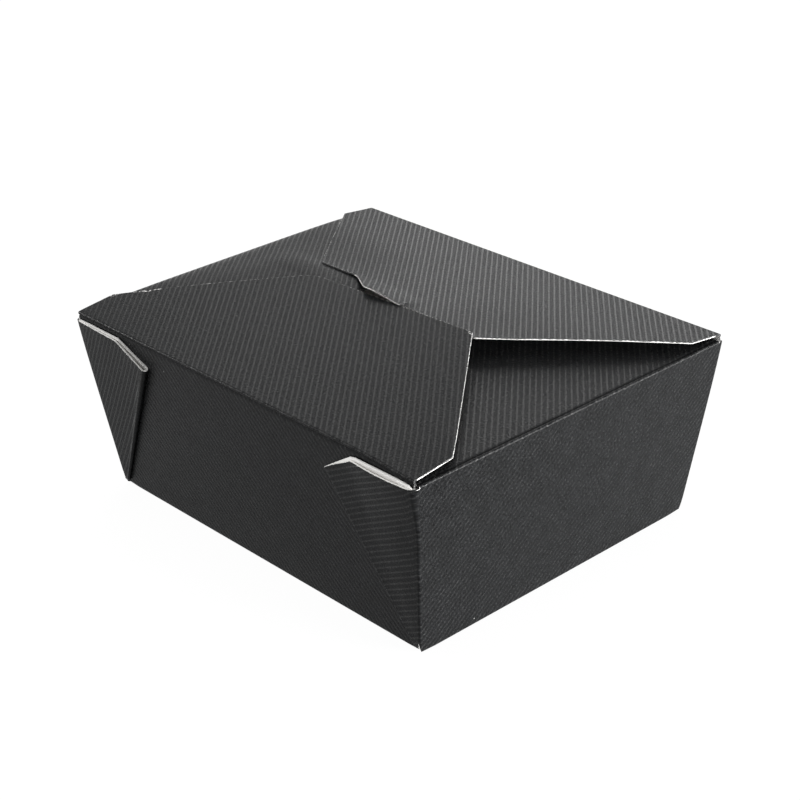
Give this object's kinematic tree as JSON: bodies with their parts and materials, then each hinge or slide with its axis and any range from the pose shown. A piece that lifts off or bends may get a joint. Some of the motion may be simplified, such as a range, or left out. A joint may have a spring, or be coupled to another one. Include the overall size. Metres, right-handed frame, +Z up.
{
  "type": "takeaway box",
  "caption": "Folded board takeaway box with sloping walls, glued corner webs and long top flaps that close over dust flaps; the tabbed back flap opens first.",
  "frame": {"origin": "centre of the base's underside", "axes": "+X along the long walls, +Y from the front wall to the back wall that carries the opening flap, +Z up"},
  "size_m": [0.1704, 0.1408, 0.0755],
  "materials": {
    "printed_board": "matt black print with thin light grey diagonal pinstripes, uncoated white inside and white cut edges"
  },
  "bodies": {
    "box": {"carton": "printed_board"},
    "flap": {"top_flap": "printed_board"}
  },
  "joints": [
    {"name": "top_flap_fold", "type": "hinge", "parent": "box", "child": "flap", "pos_m": [0, 0.06734, 0.066], "axis": [-1, 0, 0], "range_deg": [0, 190]}
  ]
}
